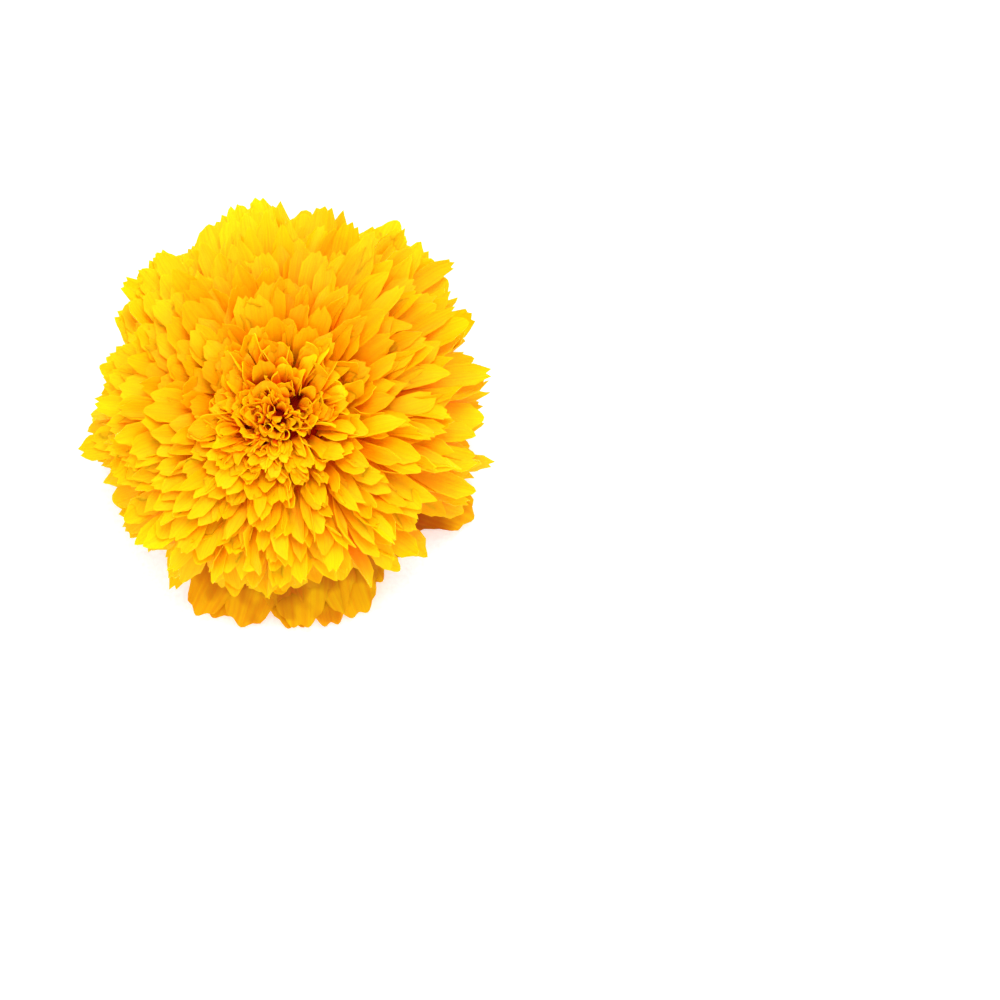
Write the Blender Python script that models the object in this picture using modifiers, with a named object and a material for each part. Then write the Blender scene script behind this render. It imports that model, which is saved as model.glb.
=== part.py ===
"""A double marigold flower head, as picked: a green cup on its trimmed stalk, a ring of broad guard
florets that sag to the surface, a dome of ray florets and a tuft of small centre florets.

Metres, +Z up. The origin is the middle of the stalk's trimmed end, which lies on the surface. The
dome is fuller towards +Y, as a head that grew towards the light is.
"""

import math
import random

import bmesh
import bpy
from mathutils import Matrix, Vector

MM = 0.001
GOLDEN_ANGLE = math.radians(137.50776)

# The head as a whole
HEAD_RADIUS = 39 * MM
FOCUS_HEIGHT = 21 * MM
CROWN_HEIGHT = 27 * MM
FULLER_SIDE = 0.15
FIT_GAP = 0.3 * MM

# Green cup and stalk
STALK_RADIUS = 3.2 * MM
CUP_RADIUS = 8.2 * MM
CUP_RIM_HEIGHT = 12 * MM
CUP_WALL = 0.9 * MM
CUP_FLOOR_HEIGHT = 4.5 * MM
CUP_TEETH = 8
TOOTH_HEIGHT = 2.5 * MM
STEPS_A_TOOTH = 4

# Guard florets
GUARD_COUNT = 16
GUARD_REACH = 40.5 * MM
GUARD_WIDTH = 15.5 * MM
GUARD_HUB_RADIUS = 6.6 * MM
GUARD_HUB_WALL = 1.5 * MM
GUARD_HUB_TOP = 16.5 * MM
GUARD_CREST = (10.2 * MM, 17.6 * MM)
GUARD_KNEE = (22 * MM, 2.5 * MM)

# Ray florets of the dome
RAY_COUNT = 246
RAY_FIRST_ANGLE = math.radians(24)
RAY_ROOT_ANGLES = (math.radians(37), math.radians(90))
RAY_LAST_ANGLE = math.radians(116)
RAY_CROWDING = 0.84
RAY_WIDTHS = (5.0 * MM, 8.4 * MM)
RAY_LOWEST_TIP = 7 * MM
CORE_SHARE = 0.68
CORE_STEPS = 28

# Centre florets
DISC_COUNT = 56
DISC_HUB_RADIUS = 9.4 * MM
DISC_HUB_HEIGHT = 2 * MM
DISC_SPREAD = math.radians(12)
DISC_LENGTH = 9 * MM
DISC_WIDTH = 3.6 * MM

BLADE_THICKNESS = 1.0 * MM

COLOURS = {
    "calyx": ((0.16, 0.30, 0.06, 1), 0.55),
    "guard_florets": ((0.86, 0.42, 0.01, 1), 0.5),
    "ray_florets": ((1.0, 0.60, 0.01, 1), 0.5),
    "disc_florets": ((0.95, 0.36, 0.01, 1), 0.5),
}


def clear_scene():
    for old in list(bpy.data.objects):
        bpy.data.objects.remove(old)


def finish(obj, name):
    """Names the object and gives it its own matt plant material."""
    colour, roughness = COLOURS[name]
    material = bpy.data.materials.new(name)
    material.use_nodes = True
    shader = material.node_tree.nodes["Principled BSDF"]
    shader.inputs["Base Color"].default_value = colour
    shader.inputs["Roughness"].default_value = roughness
    shader.inputs["Metallic"].default_value = 0
    obj.name = name
    obj.data.materials.clear()
    obj.data.materials.append(material)


def make_active(obj):
    for other in bpy.context.selected_objects:
        other.select_set(False)
    obj.select_set(True)
    bpy.context.view_layer.objects.active = obj


def apply_modifiers(obj):
    make_active(obj)
    for modifier in list(obj.modifiers):
        bpy.ops.object.modifier_apply(modifier=modifier.name)


def turned(name, profile, steps):
    """A closed body from a profile of (radius, height), which runs down its outer side."""
    mesh = bpy.data.meshes.new(name)
    points = [(radius, 0, height) for radius, height in profile]
    edges = [(k, k + 1) for k in range(len(points) - 1)]
    if profile[0][0] > 0:
        edges.append((len(points) - 1, 0))
    mesh.from_pydata(points, edges, [])
    obj = bpy.data.objects.new(name, mesh)
    bpy.context.scene.collection.objects.link(obj)
    screw = obj.modifiers.new("turn", "SCREW")
    screw.steps = screw.render_steps = steps
    screw.use_merge_vertices = True
    screw.merge_threshold = 0.00001
    apply_modifiers(obj)
    return obj


def blade(name, rings):
    """A closed blade lofted through rings of left edge, upper midrib, right edge and lower midrib.

    Each quad is split from its edge point to the next ring's midrib, alike on both faces, so that a
    waved blade's two faces never cross.
    """
    bm = bmesh.new()
    placed = [[bm.verts.new(point) for point in ring] for ring in rings]
    left, top, right, bottom = placed[0]
    bm.faces.new((left, bottom, top))
    bm.faces.new((right, top, bottom))
    for near, far in zip(placed, placed[1:]):
        for edge, rib, flip in ((0, 1, True), (2, 1, False), (0, 3, False), (2, 3, True)):
            halves = (
                (near[edge], far[rib], near[rib]),
                (near[edge], far[edge], far[rib]),
            )
            for corners in halves:
                bm.faces.new(corners[::-1] if flip else corners)
    left, top, right, bottom = placed[-1]
    bm.faces.new((left, top, bottom))
    bm.faces.new((right, bottom, top))
    mesh = bpy.data.meshes.new(name)
    bm.to_mesh(mesh)
    bm.free()
    return bpy.data.objects.new(name, mesh)


def keep_outer_skin(obj):
    """Fills the sealed hollows between crossed blades and drops loose scraps."""
    bm = bmesh.new()
    bm.from_mesh(obj.data)
    left = set(bm.faces)
    skins = []
    while left:
        skin = [left.pop()]
        for face in skin:
            for edge in face.edges:
                for near in edge.link_faces:
                    if near in left:
                        left.remove(near)
                        skin.append(near)
        skins.append(skin)
    skins.sort(key=len)
    spare = [vertex for skin in skins[:-1] for face in skin for vertex in face.verts]
    bmesh.ops.delete(bm, geom=list(set(spare)), context="VERTS")
    bm.to_mesh(obj.data)
    bm.free()


def fuse(body, blades):
    """One union of the body with all its blades, which are then removed."""
    grafts = bpy.data.collections.new("grafts")
    bpy.context.scene.collection.children.link(grafts)
    for one in blades:
        grafts.objects.link(one)
    union = body.modifiers.new("graft", "BOOLEAN")
    union.operation = "UNION"
    union.operand_type = "COLLECTION"
    union.collection = grafts
    union.solver = "MANIFOLD"
    apply_modifiers(body)
    for one in blades:
        bpy.data.objects.remove(one)
    bpy.data.collections.remove(grafts)
    keep_outer_skin(body)


def bezier(start, control, end, share):
    """A point on the curve and its direction."""
    point = start.lerp(control, share).lerp(control.lerp(end, share), share)
    direction = control.lerp(end, share) - start.lerp(control, share)
    return point, direction.normalized()


def out_and_up(turn, radius, height):
    """A point at this turn round the axis."""
    return Vector((radius * math.cos(turn), radius * math.sin(turn), height))


def from_focus(turn, angle, reach):
    """A point seen from the head's focus at this angle from the axis."""
    return out_and_up(turn, reach * math.sin(angle), FOCUS_HEIGHT + reach * math.cos(angle))


def ring_across(point, direction, face_up, half_width, lift, thickness, tooth):
    """One ring of a blade. lift raises its edges and tooth moves them towards the tip."""
    side = direction.cross(face_up).normalized()
    up = side.cross(direction).normalized()
    edge = up * lift + direction * tooth
    return (
        point - side * half_width + edge,
        point + up * thickness / 2,
        point + side * half_width + edge,
        point - up * thickness / 2,
    )


def envelope(angle, turn=0.0):
    """How far the dome's tips reach from the focus: a low crown over a wide rim."""
    crown = max(0.0, math.cos(angle)) ** 1.5
    dimple = 2.5 * MM * math.exp(-((math.degrees(angle) / 18) ** 2))
    fuller = 1 + FULLER_SIDE * math.sin(turn) * math.sin(angle)
    return (HEAD_RADIUS + (CROWN_HEIGHT - HEAD_RADIUS) * crown - dimple) * fuller


def make_calyx():
    """The cup of fused bracts with its teeth, on the stub of stalk that is trimmed at the surface."""
    inner = CUP_RADIUS - CUP_WALL
    profile = (
        (CUP_RADIUS, CUP_RIM_HEIGHT),
        (0.97 * CUP_RADIUS, 0.68 * CUP_RIM_HEIGHT),
        (0.80 * CUP_RADIUS, 0.42 * CUP_RIM_HEIGHT),
        (1.25 * STALK_RADIUS, 0.22 * CUP_RIM_HEIGHT),
        (STALK_RADIUS, 0),
        (0, 0),
        (0, CUP_FLOOR_HEIGHT),
        (0.62 * inner, CUP_FLOOR_HEIGHT + 0.8 * MM),
        (0.95 * inner, 0.68 * CUP_RIM_HEIGHT),
        (inner, CUP_RIM_HEIGHT),
    )
    calyx = turned("calyx", profile, CUP_TEETH * STEPS_A_TOOTH)
    for vertex in calyx.data.vertices:
        turn = math.atan2(vertex.co.y, vertex.co.x) / math.tau * CUP_TEETH
        peak = 1 - 2 * abs(turn % 1 - 0.5)
        if vertex.co.z > CUP_RIM_HEIGHT - 0.1 * MM:
            vertex.co.z += TOOTH_HEIGHT * peak
        elif vertex.co.z > 3 * MM and vertex.co.xy.length > 0.7 * CUP_RADIUS:
            vertex.co.xy *= 1 + 0.035 * peak
    finish(calyx, "calyx")
    return calyx


def guard_floret(index, dice):
    """A broad blade from the hub over the cup's teeth, which sags to the surface outside."""
    turn = math.tau * (index + dice.uniform(-0.15, 0.15)) / GUARD_COUNT
    layer = index % 2
    reach = GUARD_REACH * dice.uniform(0.95, 1.03)
    root = out_and_up(turn, GUARD_HUB_RADIUS - GUARD_HUB_WALL / 2, GUARD_HUB_TOP - 1.5 * MM)
    crest = out_and_up(turn, GUARD_CREST[0], GUARD_CREST[1] + layer * 0.9 * MM)
    knee = out_and_up(turn, GUARD_KNEE[0], GUARD_KNEE[1] + layer * 1.2 * MM)
    tip = out_and_up(turn, reach, (0.6 + 1.2 * layer) * MM)
    half = GUARD_WIDTH / 2 * dice.uniform(0.92, 1.06)
    wave = dice.choice((-1, 1)) * 0.8 * MM
    up = Vector((0, 0, 1))
    outward = (tip - root).normalized()
    rings = [
        ring_across(root, Vector((0, 0, 1)), -out_and_up(turn, 1, 0), 0.7 * MM, 0, 0.9 * MM, 0),
        ring_across(crest, outward, up, 0.26 * half, 0.3 * MM, 0.9 * MM, 0),
    ]
    stations = ((0.34, 0.78, 0.4), (0.68, 1.0, 0.6))
    for share, width, lift in stations:
        point, direction = bezier(crest, knee, tip, share)
        rings.append(
            ring_across(point, direction, up, width * half, lift * MM + wave, BLADE_THICKNESS, 0)
        )
        wave = -wave
    point, direction = bezier(crest, knee, tip, 0.95)
    rings.append(ring_across(point, direction, up, 0.72 * half, 0.5 * MM, 0.9 * MM, 1.5 * MM))
    rings.append(ring_across(tip, direction, up, 0.30 * half, 0.2 * MM, 0.8 * MM, 0.9 * MM))
    return blade(f"guard_{index}", rings)


def make_guard_florets():
    inner = GUARD_HUB_RADIUS - GUARD_HUB_WALL
    low = CUP_FLOOR_HEIGHT + 4.5 * MM
    profile = (
        (GUARD_HUB_RADIUS, GUARD_HUB_TOP),
        (0.94 * GUARD_HUB_RADIUS, low),
        (inner, low),
        (inner, GUARD_HUB_TOP),
    )
    hub = turned("guard_hub", profile, 32)
    dice = random.Random(3)
    fuse(hub, [guard_floret(index, dice) for index in range(GUARD_COUNT)])
    finish(hub, "guard_florets")
    return hub


def ray_floret(index, dice):
    """A blade from the core to the dome's surface, its tip bent outwards."""
    share = (index + 0.5) / RAY_COUNT
    angle = RAY_FIRST_ANGLE + (RAY_LAST_ANGLE - RAY_FIRST_ANGLE) * share**RAY_CROWDING
    angle += math.radians(dice.uniform(-1.5, 1.5))
    turn = index * GOLDEN_ANGLE
    reach = envelope(angle, turn) * dice.uniform(0.955, 1.02)
    end = from_focus(turn + math.radians(dice.uniform(-2, 2)), angle, reach)
    end.z = max(end.z, RAY_LOWEST_TIP + dice.uniform(0, 1.5) * MM)
    first, last = RAY_ROOT_ANGLES
    root_angle = first + (last - first) * share**RAY_CROWDING
    start = from_focus(turn, root_angle, CORE_SHARE * envelope(root_angle) - 3 * MM)
    control = from_focus(turn, angle - share * math.radians(8), 0.84 * reach)
    width = RAY_WIDTHS[0] + (RAY_WIDTHS[1] - RAY_WIDTHS[0]) * share**0.6
    half = width / 2 * dice.uniform(0.88, 1.08)
    roll = math.radians(dice.uniform(-16, 16))
    notched = dice.random() < 0.45
    rings = []
    for along, breadth, lift in ((0, 0.34, 0.0), (0.5, 0.78, 0.5), (0.82, 1.0, 0.7)):
        point, direction = bezier(start, control, end, along)
        up = Matrix.Rotation(roll * along, 3, direction) @ face_up(turn, direction)
        rings.append(
            ring_across(point, direction, up, breadth * half, lift * MM, BLADE_THICKNESS, 0)
        )
    if notched:
        rings.append(ring_across(end, direction, up, 0.5 * half, 0.4 * MM, 0.6 * MM, 1.3 * MM))
    else:
        rings.append(ring_across(end, direction, up, 0.2 * half, 0.2 * MM, 0.6 * MM, -0.8 * MM))
    return blade(f"ray_{index}", rings)


def face_up(turn, direction):
    """The way a floret's upper face looks: towards the axis where it stands, up where it lies."""
    out = Vector((math.cos(turn), math.sin(turn), 0))
    return Vector((0, 0, 1)) * direction.dot(out) - out * direction.z


def make_ray_florets():
    """The dome: a core of packed floret tubes, with a neck down into the cup and blades all round."""
    neck = GUARD_HUB_RADIUS - GUARD_HUB_WALL - FIT_GAP
    recess = DISC_HUB_RADIUS + FIT_GAP
    angles = [math.radians(a) for a in (34, 48, 62, 76, 92)]
    dome = [
        (
            CORE_SHARE * envelope(a) * math.sin(a),
            FOCUS_HEIGHT + CORE_SHARE * envelope(a) * math.cos(a),
        )
        for a in angles
    ]
    rim_height = dome[0][1]
    profile = (
        (0, rim_height - DISC_HUB_HEIGHT),
        (recess, rim_height - DISC_HUB_HEIGHT),
        (recess, rim_height),
        *dome,
        (0.45 * HEAD_RADIUS, FOCUS_HEIGHT - 1.5 * MM),
        (neck, FOCUS_HEIGHT - 1.5 * MM),
        (0.9 * neck, CUP_FLOOR_HEIGHT + 1.2 * MM),
        (0, CUP_FLOOR_HEIGHT + 1.2 * MM),
    )
    core = turned("core", profile, CORE_STEPS)
    dice = random.Random(11)
    fuse(core, [ray_floret(index, dice) for index in range(RAY_COUNT)])
    finish(core, "ray_florets")
    return core, rim_height


def disc_floret(index, base_height, dice):
    share = (index + 0.5) / DISC_COUNT
    radius = (DISC_HUB_RADIUS - 1.2 * MM) * math.sqrt(share)
    turn = index * GOLDEN_ANGLE
    lean = DISC_SPREAD * share * dice.uniform(0.5, 1.0)
    length = DISC_LENGTH * dice.uniform(0.75, 1.0) * (0.8 + 0.2 * share)
    start = out_and_up(turn, radius, base_height + 0.9 * MM)
    end = out_and_up(turn, radius + length * math.sin(lean), start.z + length * math.cos(lean))
    control = start.lerp(end, 0.6) + out_and_up(turn, -0.5 * MM, 0)
    half = DISC_WIDTH / 2 * dice.uniform(0.8, 1.1)
    rings = []
    for along, breadth in ((0, 0.5), (0.55, 0.8), (0.85, 1.0)):
        point, direction = bezier(start, control, end, along)
        up = face_up(turn, direction)
        rings.append(ring_across(point, direction, up, breadth * half, 0.4 * MM, 0.9 * MM, 0))
    rings.append(ring_across(end, direction, up, 0.35 * half, 0.3 * MM, 0.6 * MM, 0.7 * MM))
    return blade(f"disc_{index}", rings)


def make_disc_florets(rim_height):
    low = rim_height - DISC_HUB_HEIGHT + FIT_GAP
    top = rim_height + 0.4 * MM
    profile = (
        (0, top + 0.6 * MM),
        (0.6 * DISC_HUB_RADIUS, top + 0.4 * MM),
        (DISC_HUB_RADIUS, top - 0.4 * MM),
        (DISC_HUB_RADIUS, low),
        (0, low),
    )
    hub = turned("disc_hub", profile, 20)
    dice = random.Random(5)
    fuse(hub, [disc_floret(index, rim_height - 1 * MM, dice) for index in range(DISC_COUNT)])
    finish(hub, "disc_florets")
    return hub


def main():
    clear_scene()
    calyx = make_calyx()
    guard = make_guard_florets()
    rays, rim_height = make_ray_florets()
    disc = make_disc_florets(rim_height)
    flower = bpy.data.collections.new("marigold_flower")
    bpy.context.scene.collection.children.link(flower)
    for obj in (calyx, guard, rays, disc):
        bpy.context.scene.collection.objects.unlink(obj)
        flower.objects.link(obj)
        print(obj.name, "triangles", sum(len(p.vertices) - 2 for p in obj.data.polygons))


main()
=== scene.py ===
# %% [markdown]
# # A double marigold flower
# The head of a fully double marigold is not one flower but some hundreds of them. Each strap that
# looks like a petal is a ray floret with a root of its own. This lesson dresses a plain solid model
# of the head: it models a few florets by hand, copies each one many times round the head by the
# golden angle, and gives them a thin petal's finish.

# %% Load the plain model
import math
import random

import bpy
import numpy as np
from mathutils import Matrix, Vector


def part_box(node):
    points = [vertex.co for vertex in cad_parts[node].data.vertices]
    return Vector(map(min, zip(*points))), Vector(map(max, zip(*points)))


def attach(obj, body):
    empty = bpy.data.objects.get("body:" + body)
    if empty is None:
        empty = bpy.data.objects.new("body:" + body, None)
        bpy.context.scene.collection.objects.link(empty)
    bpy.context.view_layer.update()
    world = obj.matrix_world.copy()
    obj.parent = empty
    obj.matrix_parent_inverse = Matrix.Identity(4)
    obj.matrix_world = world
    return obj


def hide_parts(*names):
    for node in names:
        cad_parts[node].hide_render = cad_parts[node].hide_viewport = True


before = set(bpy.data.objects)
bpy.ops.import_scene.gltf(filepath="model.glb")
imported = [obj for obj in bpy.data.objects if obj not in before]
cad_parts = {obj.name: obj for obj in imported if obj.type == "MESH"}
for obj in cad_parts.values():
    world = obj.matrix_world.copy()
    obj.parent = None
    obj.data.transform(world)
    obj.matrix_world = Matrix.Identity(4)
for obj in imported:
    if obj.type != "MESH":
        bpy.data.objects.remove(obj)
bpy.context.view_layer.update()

# %% [markdown]
# ## Measures of the head
# The plain model says how far the dome reaches to each side and how high it stands. The tips of the
# florets lie on one surface, the envelope: a wide rim, a low crown and a small dip in the middle. It
# is described from the focus, a point inside the head that most florets point away from. This head
# is fuller on its +Y side, so the envelope reaches further there. No head is quite round, so two slow
# waves run over the envelope, and bulges and hollows are set into its rim.

# %% Envelope of the tips
MM = 0.001
GOLDEN_ANGLE = math.radians(137.50776)
FOCUS_SHARE = 0.43
RIM_SHARE = 0.965
CROWN_CLEARANCE = 1.5 * MM
DIP_DEPTH, DIP_BREADTH = 2.5 * MM, 18
BULGES_FROM, BULGES_FADE = 15, 50

# of each bulge or hollow: its turn in degrees, its height in mm and its breadth in degrees
BULGES = (
    (54, 3.4, 18), (80, -3.2, 12), (114, -3.2, 10), (153, -4.8, 18),
    (186, 2.0, 14), (225, 3.8, 13), (262, 2.0, 16), (312, 3.8, 22), (345, 4.9, 10),
)  # fmt: skip

dome_low, dome_high = (Vector(corner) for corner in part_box("ray_florets"))
focus_height = FOCUS_SHARE * dome_high.z
rim_reach = RIM_SHARE * (dome_high.x - dome_low.x) / 2
crown_reach = dome_high.z - focus_height - CROWN_CLEARANCE
fuller_side = (dome_high.y + dome_low.y) / 2 / rim_reach


def bulge(turn):
    """How much farther out the rim lies at this turn."""
    return MM * sum(
        height * math.exp(-((((math.degrees(turn) - middle + 180) % 360 - 180) / breadth) ** 2))
        for middle, height, breadth in BULGES
    )


def envelope(angle, turn):
    """Distance from the focus to the tips, at this angle from the axis and this turn round it."""
    crown = max(0.0, math.cos(angle)) ** 1.5
    dip = DIP_DEPTH * math.exp(-((math.degrees(angle) / DIP_BREADTH) ** 2))
    fuller = 1 + fuller_side * math.sin(turn) * math.sin(angle)
    uneven = 1 + 0.018 * math.sin(3 * turn + 4 * angle + 1) + 0.016 * math.sin(5 * turn - 4 * angle)
    reach = (rim_reach + (crown_reach - rim_reach) * crown - dip) * fuller * uneven
    return reach + bulge(turn) * min(1, max(0, math.degrees(angle) - BULGES_FROM) / BULGES_FADE)


def outward(turn, angle):
    """The direction that leans from the axis by this angle, at this turn round it."""
    return np.array(
        (math.sin(angle) * math.cos(turn), math.sin(angle) * math.sin(turn), math.cos(angle))
    )


def from_focus(turn, angle, reach):
    """The point at this turn, angle from the axis and distance from the focus."""
    return np.array((0, 0, focus_height)) + reach * outward(turn, angle)


print("rim", round(rim_reach / MM, 1), "crown", round(crown_reach / MM, 1), "mm from the focus")

# %% [markdown]
# ## Camera and light
# The flower is seen almost from straight above, through a long lens, and stands left of the view's
# middle. Light comes from all round, as from a white tent, with one large soft lamp beyond the +Y
# side, so that each floret throws a soft shadow on the one in front of it. Deep between the petals,
# light goes from petal to petal many times and turns redder each time, so it is given more bounces
# than usual.

# %% Camera
LENS = 100
VIEW_WIDTH = 197.5 * MM
VIEW_ELEVATION = math.radians(87)
VIEW_TARGET = Vector((42.5 * MM, -14.6 * MM, focus_height))

camera_data = bpy.data.cameras.new("camera")
camera_data.lens = LENS
camera = bpy.data.objects.new("camera", camera_data)
bpy.context.scene.collection.objects.link(camera)
back = Vector((0, -math.cos(VIEW_ELEVATION), math.sin(VIEW_ELEVATION)))
camera.location = VIEW_TARGET + back * VIEW_WIDTH * LENS / camera_data.sensor_width
camera.rotation_euler = (-back).to_track_quat("-Z", "Y").to_euler()
bpy.context.scene.camera = camera
print("camera at", [round(1000 * v) for v in camera.location], "mm")

# %% World and lamp
WORLD_STRENGTH = 1.08
PETAL_BOUNCES = 8
WINDOW_PLACE = Vector((0.10, 0.33, 0.85))
WINDOW_SIZE = 0.4
WINDOW_WATTS = 4.3

world = bpy.data.worlds.new("white tent")
world.use_nodes = True
background = world.node_tree.nodes["Background"]
background.inputs["Color"].default_value = (1, 1, 1, 1)
background.inputs["Strength"].default_value = WORLD_STRENGTH
bpy.context.scene.world = world
bpy.context.scene.view_settings.view_transform = "Standard"
bpy.context.scene.cycles.diffuse_bounces = PETAL_BOUNCES

lamp = bpy.data.lights.new("soft_window", "AREA")
lamp.shape = "DISK"
lamp.size = WINDOW_SIZE
lamp.energy = WINDOW_WATTS
lamp_object = bpy.data.objects.new("soft_window", lamp)
lamp_object.location = WINDOW_PLACE
towards_head = Vector((0, 0, focus_height)) - WINDOW_PLACE
lamp_object.rotation_euler = towards_head.to_track_quat("-Z", "Y").to_euler()
bpy.context.scene.collection.objects.link(lamp_object)
print("the lamp stands", round(towards_head.length / MM), "mm from the head")

# %% [markdown]
# ## Helpers for modelling
# Each operator works on what is selected, so one helper clears the selection and another selects the
# points that pass a test. Modifiers are applied as soon as a piece is shaped, so that what is copied
# later is its finished mesh.

# %% Helpers for modelling


def deselect_all():
    """Clears the selection, which holds the plain model's nodes at the start."""
    for each in bpy.context.selected_objects:
        each.select_set(False)


def make_active(obj):
    deselect_all()
    obj.select_set(True)
    bpy.context.view_layer.objects.active = obj


def select_points(obj, test):
    """In edit mode, selects the points whose place passes the test."""
    bpy.ops.mesh.select_all(action="DESELECT")
    bpy.ops.object.mode_set(mode="OBJECT")
    chosen = [test(vertex.co) for vertex in obj.data.vertices]
    obj.data.vertices.foreach_set("select", chosen)
    bpy.ops.object.mode_set(mode="EDIT")


def apply_modifiers(obj):
    make_active(obj)
    for modifier in list(obj.modifiers):
        bpy.ops.object.modifier_apply(modifier=modifier.name)


print("modelling starts in", bpy.context.mode.lower(), "mode")

# %% [markdown]
# ## Helpers for finishes
# Colours are written as sRGB hex values and turned linear, as Blender mixes light. A finish is a
# material with a tree of nodes round one Principled shader. An input of a node is either a value or
# fed by a socket of another node, so one helper does both, and the one that adds a node uses it.
# Another gives a colour ramp its stops.

# %% Helpers for finishes
# a Mix node's settings for blending two colours and for multiplying them, and the numbers of its
# sockets then: the factor, the two colours and the result
BLEND = {"data_type": "RGBA", "blend_type": "MIX"}
MULTIPLY = {"data_type": "RGBA", "blend_type": "MULTIPLY"}
FACTOR, FIRST, SECOND, MIXED = 0, 6, 7, 2


def colour(hex_value):
    """The linear colour of an sRGB hex value such as FFC800."""
    parts = [int(hex_value[k : k + 2], 16) / 255 for k in (0, 2, 4)]
    linear = [c / 12.92 if c <= 0.04045 else ((c + 0.055) / 1.055) ** 2.4 for c in parts]
    return (*linear, 1)


def new_finish(name):
    """A new material, its node tree and its Principled shader."""
    material = bpy.data.materials.new(name)
    material.use_nodes = True
    return material, material.node_tree, material.node_tree.nodes["Principled BSDF"]


def feed(node, inputs):
    """Gives each named input its value, or links the socket that feeds it."""
    for name, value in inputs.items():
        if isinstance(value, bpy.types.NodeSocket):
            node.id_data.links.new(value, node.inputs[name])
        else:
            node.inputs[name].default_value = value


def add_node(tree, kind, inputs=None, **settings):
    """Adds a node with its settings and its inputs."""
    node = tree.nodes.new(kind)
    for name, value in settings.items():
        setattr(node, name, value)
    feed(node, inputs or {})
    return node


def set_stops(ramp_node, stops):
    """Gives a colour ramp these (place, hex colour) stops and returns its colour."""
    ramp = ramp_node.color_ramp
    while len(ramp.elements) < len(stops):
        ramp.elements.new(0.5)
    for element, (place, hex_value) in zip(ramp.elements, stops):
        element.position = place
        element.color = colour(hex_value)
    return ramp_node.outputs["Color"]


print("red at half strength is", round(colour("800000")[0], 3), "when linear")

# %% [markdown]
# ## Sheet of paper
# The flower lies on a white sheet, so the floor is a plain wide grid. Uncoated paper is matt, with a
# fine grain of fibres that is only just darker than the rest. The sheet also glows a little, as paper
# does when light comes through it from behind, which keeps it white between the petals' shadows.

# %% Paper
PAPER_GRAIN = 0.8 * MM
PAPER_WIDTH = 1.6
PAPER_DROP = 0.2 * MM

deselect_all()
bpy.ops.mesh.primitive_grid_add(x_subdivisions=4, y_subdivisions=4, size=PAPER_WIDTH)
floor = bpy.context.object
floor.name = "floor"
floor.location.z = -PAPER_DROP
paper, tree, paper_shader = new_finish("white_paper")
place = add_node(tree, "ShaderNodeTexCoord").outputs["Object"]
grain = add_node(
    tree, "ShaderNodeTexNoise", {"Vector": place, "Scale": 1 / PAPER_GRAIN, "Detail": 3.0}
).outputs["Fac"]
grain_ramp = add_node(tree, "ShaderNodeValToRGB", {"Fac": grain})
grained = set_stops(grain_ramp, ((0.35, "F4F3F0"), (0.6, "FFFFFF")))
feed(paper_shader, {"Base Color": grained, "Roughness": 0.8, "Specular IOR Level": 0})
feed(paper_shader, {"Emission Color": (1, 1, 1, 1), "Emission Strength": 0.25})
floor.data.materials.append(paper)
print("the paper's grain is", round(PAPER_GRAIN / MM, 1), "mm wide")

# %% [markdown]
# ## One floret, modelled flat
# A ray floret is a narrow tube at its root that opens into a flat strap. Its end is pointed, rounded
# or cut into two or three small teeth. A strap is easiest to shape flat: a grid one unit wide and one
# unit long is scaled row by row to the strap's outline, the points of its last row are moved to make
# the teeth, and Solidify gives it the thickness of a petal. Bending comes later, when it is laid on
# the head, so one flat strap serves many florets.

# %% Flat straps
PETAL_THICKNESS = 0.2 * MM
RAY_ROWS, RAY_CLAW = 6, 0.3


def smooth(value):
    value = np.clip(value, 0, 1)
    return value * value * (3 - 2 * value)


def strap_width(along, claw, widest, tip_width):
    """Share of the full width: a claw at the root, the widest place, then the tip's rounding."""
    width = claw + (1 - claw) * smooth(along / widest)
    if along > widest:
        into_tip = (along - widest) / (1 - widest)
        width *= 1 - (1 - tip_width) * into_tip**2.4
    return width


def model_strap(name, rows, claw, widest, tip_width, teeth, thickness, finer=0):
    """A closed strap of unit size. claw and tip_width are shares of its width, widest is a place
    along it, and teeth holds how far each point of the last row moves out."""
    across = len(teeth) - 1
    deselect_all()
    bpy.ops.mesh.primitive_grid_add(
        x_subdivisions=across, y_subdivisions=rows, size=1, location=(0, 0.5, 0)
    )
    strap = bpy.context.object
    strap.name = name
    bpy.ops.object.transform_apply(location=True, rotation=True, scale=True)
    bpy.ops.object.mode_set(mode="EDIT")
    for row in range(rows, -1, -1):
        even = row / rows
        place = 1 - (1 - even) ** 1.15  # the rows lie closer towards the tip
        select_points(strap, lambda co: abs(co.y - even) < 0.2 / rows)
        bpy.ops.transform.translate(value=(0, place - even, 0))
        bpy.ops.transform.resize(
            value=(strap_width(place, claw, widest, tip_width), 1, 1),
            center_override=(0, place, 0),
        )
    for column, reach in enumerate(teeth):
        x = (column / across - 0.5) * tip_width
        select_points(strap, lambda co: co.y > 0.999 and abs(co.x - x) < 0.2 * tip_width / across)
        bpy.ops.transform.translate(value=(0, reach, 0))
    bpy.ops.object.mode_set(mode="OBJECT")
    if finer:
        subdivide = strap.modifiers.new("finer", "SUBSURF")
        subdivide.levels = subdivide.render_levels = finer
    solidify = strap.modifiers.new("thickness", "SOLIDIFY")
    solidify.thickness = thickness
    solidify.offset = 0
    apply_modifiers(strap)
    strap.hide_render = True
    return strap


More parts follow.
